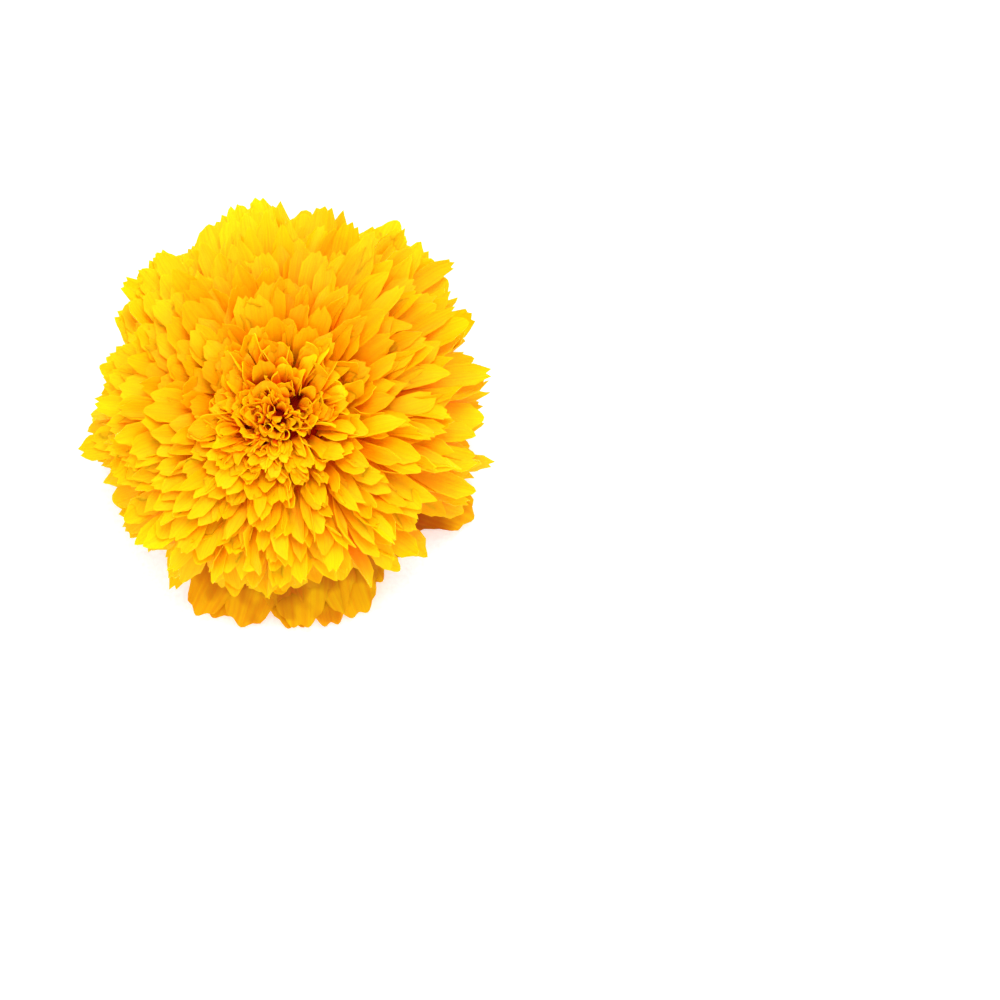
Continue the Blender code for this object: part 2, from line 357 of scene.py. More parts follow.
# %% Shapes of ray florets
# of each shape: its widest place, the width of its tip, and its teeth
RAY_SHAPES = {
    "oval": (0.64, 0.46, (-0.06, -0.01, 0.02, -0.01, -0.06)),
    "rounded": (0.74, 0.64, (-0.08, -0.015, 0.01, -0.015, -0.08)),
    "pointed": (0.60, 0.20, (-0.02, 0.005, 0.03, 0.005, -0.02)),
    "two_lobes": (0.76, 0.66, (-0.07, 0.01, -0.035, 0.005, -0.08)),
    "three_teeth": (0.76, 0.66, (-0.04, -0.045, 0.015, -0.05, -0.05)),
    "ragged": (0.72, 0.60, (-0.08, -0.01, -0.045, 0.02, -0.05)),
    "broad_round": (0.78, 0.72, (-0.09, -0.035, -0.005, 0.01, 0.0, -0.03, -0.085)),
    "broad_lobed": (0.80, 0.78, (-0.08, -0.015, -0.02, 0.015, -0.03, -0.01, -0.085)),
    "broad_ragged": (0.78, 0.74, (-0.07, -0.02, -0.05, 0.012, -0.025, -0.05, -0.08)),
}
# how often each shape occurs, in that order, where the florets stand and where they lie spread
STANDING_MIX = (7, 4, 4, 2, 1, 2, 1, 0, 1)
SPREAD_MIX = (2, 3, 0, 2, 1, 2, 5, 5, 5)

ray_straps = {
    name: model_strap(f"strap_{name}", RAY_ROWS, RAY_CLAW, *shape, PETAL_THICKNESS)
    for name, shape in RAY_SHAPES.items()
}
print("a ray floret has", len(ray_straps["pointed"].data.polygons), "faces")

# %% [markdown]
# ## Laying a strap on the head
# Every floret follows a spine, a curve of four control points from its root to its tip. A copy of the
# flat strap is wrapped round the spine: its length goes along the curve, its width goes to the side,
# and its upper face looks towards the axis. On the way it is cupped like a gutter, folded along its
# middle, twisted, waved, pleated and curled at its end, each by its own small amount, so no two are
# alike. The copy also keeps three numbers for the material: its own shade of colour, how far it stands
# from the axis, and how ripe its colour is. Florets ripen from root to tip, and their roots, which lie
# under the next florets, are painted darker orange as shade; the most even ones change only by their
# place. A floret that rests on the table is settled on it instead of passing through.

# %% Spine of a floret


def spine_frames(spine, along, roll):
    """Places on a curve of four control points, and the ways ahead, sideways and face up there."""
    t = along[:, None]
    p0, p1, p2, p3 = spine
    places = (1 - t) ** 3 * p0 + 3 * (1 - t) ** 2 * t * p1 + 3 * (1 - t) * t**2 * p2 + t**3 * p3
    heading = (1 - t) ** 2 * (p1 - p0) + 2 * (1 - t) * t * (p2 - p1) + t**2 * (p3 - p2)
    heading = heading / np.linalg.norm(heading, axis=1, keepdims=True)
    out = outward(math.atan2(p3[1] + p0[1], p3[0] + p0[0]), math.pi / 2)
    face_up = np.outer(heading @ out, (0, 0, 1)) - np.outer(heading[:, 2], out)
    face_up /= np.linalg.norm(face_up, axis=1, keepdims=True)
    side = np.cross(heading, face_up)
    roll = roll[:, None]
    side, face_up = (
        side * np.cos(roll) + face_up * np.sin(roll),
        face_up * np.cos(roll) - side * np.sin(roll),
    )
    return places, heading, side, face_up


hooked = [from_focus(0, 0, reach * MM) for reach in (0, 5, 10)] + [from_focus(0, 0.5, 10 * MM)]
ahead = spine_frames(hooked, np.array((0.0, 1.0)), np.zeros(2))[1]
print("a hooked floret's tip turns by", round(math.degrees(math.acos(ahead[0] @ ahead[1]))), "degrees")

# %% Bends across a floret
CUP_START, CUP_STRETCH = 0.12, 0.72


def cross_section(across, along, width, length, bend):
    """How far each point of a bent strap lies sideways from its spine, and above it."""
    bow = np.sin(math.pi * np.clip(CUP_START + CUP_STRETCH * along, 0, 1))
    cup = bend["cup"] * np.maximum(bow, bend.get("tube", 0)) + 1e-4
    sideways = width / 2 * np.sin(2 * across * cup) / cup
    height = width / 2 * (1 - np.cos(2 * across * cup)) / cup
    height += bend["fold"] * width * np.abs(across) * smooth((along - 0.3) / 0.5)
    wave = np.sin(math.tau * (bend["waves"] * along + bend["phase"]) + 3 * np.sign(across))
    height += bend["wave"] * wave * (2 * np.abs(across)) ** 1.5 * smooth((along - 0.25) / 0.4)
    height += bend["curl"] * length * smooth((along - 0.7) / 0.3) ** 2
    pleat = np.cos(math.tau * (bend.get("pleats", 0) * across + bend["phase"]))
    height += bend.get("pleat", 0) * pleat * smooth((along - 0.4) / 0.5)
    return sideways, height


gutter = dict.fromkeys(("fold", "waves", "phase", "wave", "curl"), 0.0) | {"cup": 1.0}
out, up = cross_section(np.array((0.5,)), np.array((0.5,)), 4 * MM, 10 * MM, gutter)
edge = round(out[0] / MM, 2), round(up[0] / MM, 2)
print("a cupped floret 4 mm wide has its edge (out, up)", edge, "mm from its middle")

# %% Lay a strap along a spine
EVEN_RIPENESS = 0.42, 0.32
SHARP_FOLD = math.radians(55)


def points_of(piece):
    """The places of the piece's points, one in each row."""
    flat = np.empty(3 * len(piece.data.vertices))
    piece.data.vertices.foreach_get("co", flat)
    return flat.reshape(-1, 3)


def ripeness_and_shade(along, standing, bend):
    """Ripe colour with painted shade at the root: from root to tip, or, for even florets, by place
    only.
    """
    even = bend.get("even", 0)
    middle, growth = EVEN_RIPENESS
    ripe_and_shade = (1 - even) * along ** bend.get("deep", 1) + even * (middle + growth * standing**1.5)
    return ripe_and_shade + bend.get("lit_side_shift", 0)


def lay_strap(strap, name, spine, width, bend, shade, floor_height=None):
    """A copy of the strap along the spine, bent by the named amounts in bend."""
    piece = strap.copy()
    piece.data = strap.data.copy()
    piece.name = name
    piece.hide_render = False
    bpy.context.scene.collection.objects.link(piece)
    across, along, over = points_of(piece).T
    extra = np.maximum(0, along - 1)
    along = np.clip(along, 0, 1)
    roll = bend["roll"] * smooth(2 * along) + bend["twist"] * along
    places, heading, side, face_up = spine_frames(spine, along, roll)
    length = np.linalg.norm(spine[3] - spine[0])
    sideways, height = cross_section(across, along, width, length, bend)
    middle = places + side * sideways[:, None] + face_up * height[:, None]
    middle += heading * (extra * length)[:, None]
    if floor_height is not None:
        lifted = np.logaddexp(0, (middle[:, 2] - floor_height) / SETTLING) * SETTLING
        middle[:, 2] = floor_height + lifted
    points = middle + face_up * over[:, None]
    piece.data.vertices.foreach_set("co", points.astype(np.float32).reshape(-1))
    standing = np.hypot(points[:, 0], points[:, 1]) / rim_reach
    # the ripe colour also carries painted shade at the roots
    ripe_and_shade = ripeness_and_shade(along, standing, bend)
    fields = {"shade": np.full(len(points), shade), "standing": standing, "ripe_and_shade": ripe_and_shade}
    for key, values in fields.items():
        field = piece.data.attributes.new(key, "FLOAT", "POINT")
        field.data.foreach_set("value", values.astype(np.float32))
    return piece


def join_pieces(pieces, name):
    """One mesh of all the pieces, smooth except over sharp folds."""
    make_active(pieces[0])
    for piece in pieces:
        piece.select_set(True)
    bpy.ops.object.join()
    joined = bpy.context.object
    joined.name = name
    joined.data.name = name
    bpy.ops.object.shade_smooth_by_angle(angle=SHARP_FOLD)
    triangles = sum(len(face.vertices) - 2 for face in joined.data.polygons)
    print(f"{name}: {len(pieces)} florets, {triangles} triangles")
    return joined


print("even florets ripen from", EVEN_RIPENESS[0], "in the middle to", sum(EVEN_RIPENESS), "at the rim")

# %% [markdown]
# ## Sides of the head
# The head is not alike all round. On its fuller side the florets are broad and lie softly on each
# other, and on the other side they stand up, with gaps between them. Painted light makes the -X side
# a little yellower, and painted shade makes the +X side a little more orange. Beneath the straps their
# tubes stand packed together, and their ends make the core, which is higher in the middle.

# %% Sides and core
FULLER_SIDE = math.radians(120)
# the side that is painted yellower as if more light fell on it; the opposite side is painted more
# orange as shade
PAINTED_LIGHT_SIDE = math.radians(185)
CORE_SHARE, CORE_CROWN = 0.60, 0.17


def fullness(turn):
    """1 on the side where the florets are broad and lie down, 0 where they stand apart."""
    return 0.5 + 0.5 * math.cos(turn - FULLER_SIDE)


def core_surface(angle):
    """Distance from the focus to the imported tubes, which stand higher in the middle."""
    return (CORE_SHARE + CORE_CROWN * (1 - smooth(angle / 0.9))) * envelope(angle, 0)


print("the packed tubes reach", round(core_surface(0) / MM, 1), "mm from the focus in the middle")

# %% [markdown]
# ## Dark pockets
# Between the youngest florets the head opens into deep dark pockets. Left to chance they would close,
# or all come out alike, so the largest are listed, each with its place and radius. The tip of a
# floret is pushed aside from them, and a floret that would still cover one is left out.

# %% Pockets
# of each pocket: x, y and radius in mm
POCKETS = (
    (0.8, 0.4, 0.9), (3.2, -3.7, 0.8), (6.3, -4.1, 0.9), (9.0, -2.1, 0.6),
    (4.3, 2.6, 0.9), (-5.7, -1.9, 0.5), (-3.6, 6.6, 0.8),
    (-4.3, 9.9, 0.6), (-0.4, 9.4, 0.5), (4.1, 10.8, 0.8), (6.6, 6.2, 0.6),
    (12.2, -8.8, 0.8), (-2.8, -12.0, 0.6), (-13.0, 5.0, 0.8),
)  # fmt: skip
POCKET_DEPTH = 3.4 * MM
POCKET_MOUTH = 0.65


def pushed_aside(point, clearance):
    """The point, moved level until no dark pocket lies nearer than the clearance."""
    point = point.copy()
    for x, y, radius in POCKETS:
        away = point[:2] - (x * MM, y * MM)
        distance = max(np.linalg.norm(away), 1e-6)
        point[:2] += away / distance * max(0, radius * MM + clearance - distance)
    return point


def leaves_pockets_open(piece):
    """Whether no part of the piece near the surface lies over a dark pocket."""
    points = points_of(piece)
    reach = np.linalg.norm(points - from_focus(0, 0, 0), axis=1)
    for x, y, radius in POCKETS:
        angle = math.atan2(math.hypot(x, y) * MM, crown_reach)
        mouth = envelope(angle, math.atan2(y, x)) - POCKET_DEPTH
        near = np.hypot(points[:, 0] - x * MM, points[:, 1] - y * MM) < POCKET_MOUTH * radius * MM
        if (reach[near] > mouth).any():
            return False
    return True


def keep_if(test, pieces):
    """The pieces that pass the test. The others are taken out of the scene."""
    passed = [test(piece) for piece in pieces]
    for piece, stays in zip(pieces, passed):
        if not stays:
            bpy.data.objects.remove(piece)
    return [piece for piece, stays in zip(pieces, passed) if stays]


print(len(POCKETS), "pockets, up to", 2 * max(radius for x, y, radius in POCKETS), "mm wide")

# %% [markdown]
# ## Ray florets of the dome
# The florets follow each other by the golden angle, from the crown's edge to beneath the rim. Each
# leaves the core pointing away from the focus and leans outwards near its tip. Towards the rim they
# are broader and longer, and their tips hang, and there the leaner side has fewer of them. Near the
# crown they are the most unruly.

# %% Ray florets
RAY_COUNT = 840
RAY_ANGLES = (math.radians(13), math.radians(118))
ROOT_ANGLES = (math.radians(17), math.radians(92))
ROOT_DEPTH = 1.5 * MM
RAY_WIDTHS = (2.7 * MM, 4.8 * MM)
LOWEST_TIP = dome_low.z
LOWEST_HEADING = math.radians(135)
RIM_THINNING = 0.7


def ray_spine(turn, share, angle, unruly, dice):
    """The spine of a floret whose tip lies at this turn and angle. share is 0 first, 1 last."""
    # most tips end a little within the envelope, and a few pass it
    held_back = 0.07 * (0.6 + 0.5 * unruly) * (1 - dice.random() ** 2.5)
    reach = envelope(angle, turn) * (1.02 - held_back)
    tip_turn = turn + math.radians(dice.gauss(0, 3.0) * unruly)
    tip = from_focus(tip_turn, angle, reach)
    tip[2] = max(tip[2], LOWEST_TIP + dice.uniform(0, 2) * MM)
    first, last = ROOT_ANGLES
    root_angle = first + (last - first) * share**0.8
    root = from_focus(turn, root_angle, core_surface(root_angle) - ROOT_DEPTH)
    length = np.linalg.norm(tip - root)
    full = fullness(turn)
    # how many degrees the strap leans out at its tip
    spread = 10 + 22 * full + 14 * full * (1 - share) ** 2 + 22 * (1 - full) * (1 - share) ** 6
    lean = math.radians(dice.gauss(spread, 9 * unruly))
    tip_heading = outward(tip_turn, min(angle + lean, LOWEST_HEADING))
    leaving = root + 0.4 * length * outward(turn, 0.6 * root_angle + 0.4 * angle)
    arriving = tip - 0.36 * length * tip_heading
    sway = dice.gauss(0, 0.07) * unruly * length
    arriving = arriving + sway * outward(turn + math.pi / 2, math.pi / 2)
    return (root, leaving, pushed_aside(arriving, 1.2 * MM), pushed_aside(tip, 0.9 * MM))


def lay_ray_floret(index, dice):
    """One strap of the dome, with its angle from the axis."""
    share = (index + 0.5) / RAY_COUNT
    turn = index * GOLDEN_ANGLE
    full = fullness(turn)
    unruly = (1 + 0.7 * (1 - share) ** 4) * (1.15 - 0.7 * full)
    first, last = RAY_ANGLES
    angle = first + (last - first) * share**0.72 + math.radians(dice.gauss(0, 2.4))
    spine = ray_spine(turn, share, angle, unruly, dice)
    slender, broad = RAY_WIDTHS
    width = slender + (broad - slender) * share**0.6
    width *= 1 + (0.4 + 0.35 * (1 - share) ** 3) * full**1.5
    width *= dice.uniform(0.75, 1.22)
    bend = {
        "cup": dice.gauss(0.35, 0.25 * unruly),
        "fold": dice.uniform(0.0, 0.4) ** 1.5,
        "roll": dice.gauss(0, 0.28) * unruly,
        "twist": dice.gauss(0, 0.4) * unruly,
        "waves": dice.uniform(0.6, 1.8),
        "wave": dice.uniform(0.2, 0.9 - 0.4 * full) * MM,
        "phase": dice.random(),
        "curl": dice.gauss(0.03 * full, 0.05 + 0.03 * full),
        "even": min(1, 0.1 + 1.1 * full**1.3),
        # how far the orange of the root reaches: further at the rim, partly painted shade under the
        # florets above
        "deep": 0.6 + 1.1 * share**1.5,
        # painted light and shade: yellower towards one side, more orange towards the other
        "lit_side_shift": 0.1 * math.cos(turn - PAINTED_LIGHT_SIDE),
        "pleats": dice.uniform(0.9, 2.0),
        "pleat": dice.uniform(0.1, 0.45) * full * MM,
    }
    mix = SPREAD_MIX if dice.random() < full else STANDING_MIX
    shape = dice.choices(list(ray_straps), mix)[0]
    return angle, lay_strap(ray_straps[shape], f"ray_{index}", spine, width, bend, dice.random())


def has_room(index, dice):
    """Towards the rim of the leaner side the florets are sparser, so their roots' gaps show."""
    crowding = smooth((index / RAY_COUNT - 0.3) / 0.3) * (1 - fullness(index * GOLDEN_ANGLE))
    return dice.random() > RIM_THINNING * crowding


# %% Arrange the ray florets
CROWN_EDGE, RIM_EDGE = math.radians(50), math.radians(82)

ray_dice = random.Random(21)
laid = [
    lay_ray_floret(index, ray_dice) for index in range(RAY_COUNT) if has_room(index, ray_dice)
]
inner_pieces = keep_if(leaves_pockets_open, [p for a, p in laid if a < CROWN_EDGE])
inner_rays = join_pieces(inner_pieces, "inner_ray_florets")
middle_rays = join_pieces([p for a, p in laid if CROWN_EDGE <= a < RIM_EDGE], "middle_ray_florets")
outer_rays = join_pieces([p for a, p in laid if a >= RIM_EDGE], "outer_ray_florets")

# %% [markdown]
# ## Core of the head
# Between the florets one sees only more florets: their tubes stand side by side on the flower's base.
# A ball of tubes is far too many shapes for what shows of it, so it is one rounded body, which the
# straps' roots are sunk in, with the tubes as relief in its finish.

# %% Core
CORE_EDGE = math.radians(105)
CORE_UNDERSIDE = focus_height - 2.0 * MM

deselect_all()
bpy.ops.mesh.primitive_uv_sphere_add(segments=64, ring_count=40, radius=1)
core = bpy.context.object
core.name = "packed_tubes"
for vertex in core.data.vertices:
    angle = math.acos(max(-1, min(1, vertex.co.z)))
    turn = math.atan2(vertex.co.y, vertex.co.x)
    point = from_focus(turn, angle, core_surface(min(angle, CORE_EDGE)))
    point[2] = max(point[2], CORE_UNDERSIDE)
    vertex.co = point
bpy.ops.object.shade_smooth()
print("the core is", round(2 * core_surface(math.pi / 2) / MM, 1), "mm wide")

# %% [markdown]
# ## Centre florets
# In the middle the florets are young: small, narrow and rolled like scoops, crowded and turned every
# way, with deep red-brown gaps between them. They are shaped as short deep straps, with more cup and
# far more twist than the outer ones, and their ends hook over, so that each shows a small bright tip.
# They keep clear of the dark pockets, and where the pockets thin them most they are more crowded.

# %% Scoops
CENTRE_COUNT = 160
CENTRE_REACH = math.radians(32)
CENTRE_ROOT_DEPTH = 1 * MM
CROWDED_SIDE = math.radians(135)
CROWDED_FROM, CROWDED_TO = 2, 40

NOTCHED_TIP = (-0.1, 0.02, -0.06, 0.03, -0.1)
ROUND_TIP = (-0.12, 0.0, 0.03, 0.0, -0.12)
centre_straps = [
    model_strap("scoop_notched", 4, 0.4, 0.76, 0.7, NOTCHED_TIP, PETAL_THICKNESS, finer=1),
    model_strap("scoop_round", 4, 0.4, 0.72, 0.6, ROUND_TIP, PETAL_THICKNESS, finer=1),
]


def lay_centre_floret(index, dice):
    """A young floret: a small scoop whose rounded end hooks over."""
    share = (index + 0.5) / CENTRE_COUNT
    angle = CENTRE_REACH * (0.06 + 0.94 * share**0.55) + math.radians(dice.gauss(0, 1.2))
    turn = index * GOLDEN_ANGLE
    full = fullness(turn)
    reach = envelope(angle, turn) - dice.uniform(0, 2.4) * MM - 1.4 * MM * (1 - share)
    tip = from_focus(turn, angle, reach)
    root = from_focus(turn, 0.72 * angle, core_surface(0) - CENTRE_ROOT_DEPTH)
    length = np.linalg.norm(tip - root)
    tip_turn = turn + math.radians(dice.gauss(0, 45 - 20 * share))
    leaving = root + 0.5 * length * outward(turn, 0.8 * angle)
    lean = math.radians(dice.gauss(50, 20))
    arriving = tip - 0.27 * length * outward(tip_turn, angle + lean)
    bend = {
        "cup": dice.gauss(0.6, 0.3),
        "fold": dice.uniform(0, 0.25),
        "roll": dice.gauss(0, 0.5),
        "twist": dice.gauss(0, 0.6),
        "waves": 1,
        "wave": dice.uniform(0.1, 0.4) * MM,
        "phase": dice.random(),
        "curl": dice.gauss(-0.02, 0.05),
        # how far the dark root colour reaches, partly painted shade deep in the centre
        "deep": (0.8 + 1.4 * full) * (1.3 - 0.6 * share),
    }
    width = dice.uniform(2.2, 3.7) * MM * (0.85 + 0.15 * share + 0.6 * full * share)
    spine = (root, leaving, pushed_aside(arriving, 0.35 * width), pushed_aside(tip, 0.3 * width))
    strap = dice.choice(centre_straps)
    return lay_strap(strap, f"centre_{index}", spine, width, bend, dice.random())


def is_crowded(index):
    """Whether the scoop of this number lies towards the crowded side."""
    return math.cos(index * GOLDEN_ANGLE - CROWDED_SIDE) > 0.7


centre_dice = random.Random(5)
centre_pieces = [lay_centre_floret(index, centre_dice) for index in range(CENTRE_COUNT)]
crowd_dice = random.Random(6)
between = [index + 0.5 for index in range(CROWDED_FROM, CROWDED_TO)]
crowd = [lay_centre_floret(index, crowd_dice) for index in between if is_crowded(index)]
print(len(centre_pieces), "scoops, and", len(crowd), "more between them on the crowded side")

# %% [markdown]
# ## Tubes and threads
# A few florets of the middle are no straps at all but upright tubes with a scalloped mouth. A tube is
# the same kind of strap again, cupped until its sides meet. Between all of them curl the styles, the
# thin threads of the pistils. A thread is a strap half a millimetre wide.

# %% Tubes
TUBE_COUNT = 12
TUBE_REACH = math.radians(18)
TUBE_TEETH = (0, 0.03, -0.02, 0.03, -0.02, 0.03, -0.02, 0.03, 0)

tube_strap = model_strap("tube", 5, 0.7, 0.6, 1.0, TUBE_TEETH, 0.22 * MM, finer=1)


def lay_tube(index, dice):
    """A disc floret: an upright tube with a scalloped mouth, painted deep red almost to its mouth,
    partly its own colour and partly painted shade.
    """
    share = (index + 0.5) / TUBE_COUNT
    angle = TUBE_REACH * share**0.5 + math.radians(dice.gauss(0, 1))
    turn = index * GOLDEN_ANGLE + 2
    tip = from_focus(turn, angle, envelope(angle, turn) - dice.uniform(0.8, 2.4) * MM)
    root = from_focus(turn, 0.8 * angle, core_surface(0) - CENTRE_ROOT_DEPTH)
    heading_turn = turn + math.radians(dice.gauss(0, 30))
    heading = outward(heading_turn, angle + math.radians(dice.gauss(8, 10)))
    length = np.linalg.norm(tip - root)
    leaving = root + 0.4 * length * outward(turn, 0.8 * angle)
    bend = dict.fromkeys(("fold", "wave", "curl"), 0.0)
    bend |= {"cup": dice.uniform(2.4, 2.9), "tube": 0.9, "waves": 1, "phase": 0, "deep": 7}
    bend |= {"roll": dice.uniform(-3, 3), "twist": 0.0}
    width = dice.uniform(4.4, 6.0) * MM
    spine = (root, leaving, tip - 0.3 * length * heading, tip)
    return lay_strap(tube_strap, f"tube_{index}", spine, width, bend, dice.random())


tubes = [lay_tube(index, centre_dice) for index in range(TUBE_COUNT)]
centre_pieces = keep_if(leaves_pockets_open, centre_pieces + tubes + crowd)
print(len(centre_pieces), "scoops and tubes leave the pockets open")

# %% Threads
STYLE_COUNT = 15
STYLE_ANGLES = (1, 22)

style_strap = model_strap("thread", 5, 0.8, 0.5, 0.5, (0, 0, 0), 0.25 * MM)


def lay_style(index, dice):
    """A style is the thin thread of a floret's pistil. It curls over between the scoops."""
    angle = math.radians(dice.uniform(*STYLE_ANGLES))
    turn = index * GOLDEN_ANGLE + 0.5
    reach = envelope(angle, turn) - dice.uniform(0.5, 2.5) * MM
    tip = from_focus(turn, angle, reach)
    root_turn = turn + math.radians(dice.gauss(0, 12))
    root = from_focus(root_turn, angle, reach - dice.uniform(6, 8) * MM)
    side = outward(math.tau * dice.random(), math.pi / 2)
    leaving = root + np.array((0, 0, 4.0 * MM)) + 1.0 * MM * side
    arriving = tip + np.array((0, 0, 1.6 * MM)) - 1.8 * MM * side
    bend = dict.fromkeys(("fold", "roll", "wave", "curl"), 0.0)
    bend |= {"cup": 0.8, "twist": dice.gauss(0, 0.8), "waves": 1, "phase": 0, "deep": 2.5}
    spine = (root, leaving, arriving, tip)
    width = dice.uniform(0.45, 0.65) * MM
    return lay_strap(style_strap, f"style_{index}", spine, width, bend, dice.random())


centre_pieces += [lay_style(index, centre_dice) for index in range(STYLE_COUNT)]
centre_florets = join_pieces(centre_pieces, "centre_florets")

# %% [markdown]
# ## Guard florets
# Beneath the dome lies a ring of the oldest florets. They are broad, with waved sides and a scalloped
# end, and they sag over the cup's rim until their ends lie on the table. Their strap starts from the
# same grid, and a Subdivision Surface rounds its scallops before it gets its thickness.

# %% Guard straps
GUARD_ROWS, GUARD_CLAW = 7, 0.2
GUARD_THICKNESS = 0.3 * MM


def scallops(lobes, depth, corner):
    """How far each point of a strap's end moves out, for this many round lobes."""
    columns = 3 * lobes
    shares = [column / columns for column in range(columns + 1)]
    return [
        depth * abs(math.sin(math.pi * lobes * share)) - corner * abs(2 * share - 1) ** 3
        for share in shares
    ]


# of each shape: its widest place, the width of its tip, and its scallops
GUARD_SHAPES = {
    "guard_broad": (0.78, 0.82, scallops(4, 0.045, 0.2)),
    "guard_plain": (0.76, 0.76, scallops(3, 0.055, 0.22)),
}
guard_straps = [
    model_strap(name, GUARD_ROWS, GUARD_CLAW, *shape, GUARD_THICKNESS, finer=1)
    for name, shape in GUARD_SHAPES.items()
]
print("a guard floret has", len(guard_straps[0].data.polygons), "faces")

# %% Guard florets
GUARD_COUNT = 46
GUARD_WIDTHS = (13.0, 17.0)
CREST_CLEARANCE = 0.6 * MM
ROOT_RADIUS, ARCH_RADIUS = 5.6 * MM, 13 * MM
LAYER_RISE = 1.5
TABLE_GAP = 0.3 * MM
SETTLING = 0.25 * MM
HIDDEN_REACH = 0.79

# where guard florets show beyond the dome: the middle and breadth of each ruffle, and its reach
RUFFLES = (
    (math.radians(-111), math.radians(19), 0.975),
    (math.radians(-80), math.radians(22), 0.94),
    (math.radians(-22), math.radians(10), 0.965),
)
guard_low, guard_high = (Vector(corner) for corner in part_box("guard_florets"))
guard_reach = (guard_high.x - guard_low.x) / 2
crest_height = guard_high.z - CREST_CLEARANCE


def angle_between(first, second):
    """The smaller angle between two turns."""
    return abs((first - second + math.pi) % math.tau - math.pi)


def lay_guard_floret(index, dice):
    """A broad floret that arches over the cup's rim and comes to rest on the table. Near the last
    of the ruffles it is painted deeper orange as shadow."""
    turn = math.tau * (index + dice.uniform(-0.25, 0.25)) / GUARD_COUNT
    layer = index % 2
    shown = max(
        (share - HIDDEN_REACH) * smooth((breadth - angle_between(turn, middle)) / 0.16)
        for middle, breadth, share in RUFFLES
    )
    reach = guard_reach * (HIDDEN_REACH + shown) * dice.uniform(0.965, 1.0)
    out = outward(turn, math.pi / 2)
    up = np.array((0, 0, 1.0))
    root = ROOT_RADIUS * out + up * (crest_height - 2.5 * MM)
    rest = (0.8 + LAYER_RISE * layer + dice.uniform(0, 1.2)) * MM
    tip = reach * outward(turn + math.radians(dice.gauss(0, 2)), math.pi / 2) + up * rest
    leaving = ARCH_RADIUS * out + up * (crest_height + 3 * MM)
    arriving = 0.52 * reach * out + up * (rest - 0.6 * MM + dice.uniform(0, 2) * MM)
    bend = {
        "cup": dice.gauss(0.12, 0.12),
        "fold": dice.uniform(-0.05, 0.08),
        "roll": 0.0,
        "twist": dice.gauss(0, 0.08),
        "waves": dice.uniform(1.2, 2.0),
        "wave": dice.uniform(0.6, 1.3) * MM,
        "phase": dice.random(),
        "curl": dice.uniform(-0.01, 0.03),
        # painted shadow: the guards near the last ruffle are made deeper orange
        "deep": 1 + 2.5 * smooth(1.5 - angle_between(turn, RUFFLES[2][0]) / 0.3),
        "pleats": dice.uniform(1.2, 2.2),
        "pleat": dice.uniform(0.3, 0.6) * MM,
    }
    width = dice.uniform(*GUARD_WIDTHS) * MM
    spine = (root, leaving, arriving, tip)
    strap = dice.choice(guard_straps)
    return lay_strap(strap, f"guard_{index}", spine, width, bend, dice.random(), TABLE_GAP)


guard_dice = random.Random(4)
guard_florets = join_pieces(
    [lay_guard_floret(index, guard_dice) for index in range(GUARD_COUNT)], "guard_petals"
)
lowest = min(vertex.co.z for vertex in guard_florets.data.vertices)
print("lowest point of the guard petals", round(lowest / MM, 2), "mm")

# %% [markdown]
# ## Green cup
# Beneath the florets, the head's bracts are fused into a ribbed green cup with a tooth at the end of
# each rib, and the stalk is cut flat where the flower was picked. The cup could be turned from a
# profile, but then all its columns would be alike. Here a disc is extruded ring by ring, out and up
# to the rim and then down inside, and single columns are moved to make the ribs and the teeth.

# %% Cup
CUP_TEETH, COLUMNS_A_TOOTH = 8, 8
STALK_RADIUS = 3.2
CUT_RADIUS = 0.95 * STALK_RADIUS
RIB_RELIEF = 0.035
TOOTH_HEIGHT = 2.5 * MM
# of each ring up the outside and down the inside: its radius and its height, in mm
CUP_RINGS = (
    (3.2, 0.3), (3.25, 1.4), (4.0, 2.6), (5.4, 3.7), (6.6, 5.0), (7.5, 6.6), (7.95, 8.2),
    (8.15, 10.2), (8.2, 12.0), (7.5, 12.0), (7.2, 10.0), (6.7, 7.8), (4.5, 5.3), (2.0, 4.6),
)  # fmt: skip
columns = CUP_TEETH * COLUMNS_A_TOOTH
deselect_all()
bpy.ops.mesh.primitive_circle_add(vertices=columns, radius=CUT_RADIUS * MM, fill_type="NGON")
cup = bpy.context.object
cup.name = "ribbed_cup"
bpy.ops.object.mode_set(mode="EDIT")
bpy.ops.mesh.select_all(action="SELECT")
radius, height = CUT_RADIUS, 0
for next_radius, next_height in CUP_RINGS:
    rise = (0, 0, (next_height - height) * MM)
    bpy.ops.mesh.extrude_region_move(TRANSFORM_OT_translate={"value": rise})
    spread = next_radius / radius
    bpy.ops.transform.resize(value=(spread, spread, 1), center_override=(0, 0, next_height * MM))
    radius, height = next_radius, next_height
bpy.ops.mesh.select_all(action="SELECT")
bpy.ops.mesh.normals_make_consistent(inside=False)
print("the plain cup has", len(CUP_RINGS), "rings of", columns, "points")

# %% Ribs and teeth


def column_of(co):
    """The column of a tooth that a point is in, from 0 at the notch to the peak's in its middle."""
    column = round(math.atan2(co.y, co.x) / math.tau * columns) % COLUMNS_A_TOOTH
    return min(column, COLUMNS_A_TOOTH - column)


for column in range(1, COLUMNS_A_TOOTH // 2 + 1):
    peak = 2 * column / COLUMNS_A_TOOTH
    select_points(cup, lambda co: column_of(co) == column and co.xy.length > 5.3 * MM)
    bulge_out = 1 + RIB_RELIEF * smooth(peak)
    bpy.ops.transform.resize(value=(bulge_out, bulge_out, 1), center_override=(0, 0, 0))
    select_points(cup, lambda co: column_of(co) == column and co.z > 11.9 * MM)
    bpy.ops.transform.translate(value=(0, 0, TOOTH_HEIGHT * peak))
bpy.ops.object.mode_set(mode="OBJECT")
rounding = cup.modifiers.new("rounding", "SUBSURF")
rounding.levels = rounding.render_levels = 1
apply_modifiers(cup)
bpy.ops.object.shade_smooth_by_angle(angle=math.radians(40))
cup_height = max(vertex.co.z for vertex in cup.data.vertices)
print("the cup has", len(cup.data.polygons), "faces and is", round(cup_height / MM, 1), "mm high")
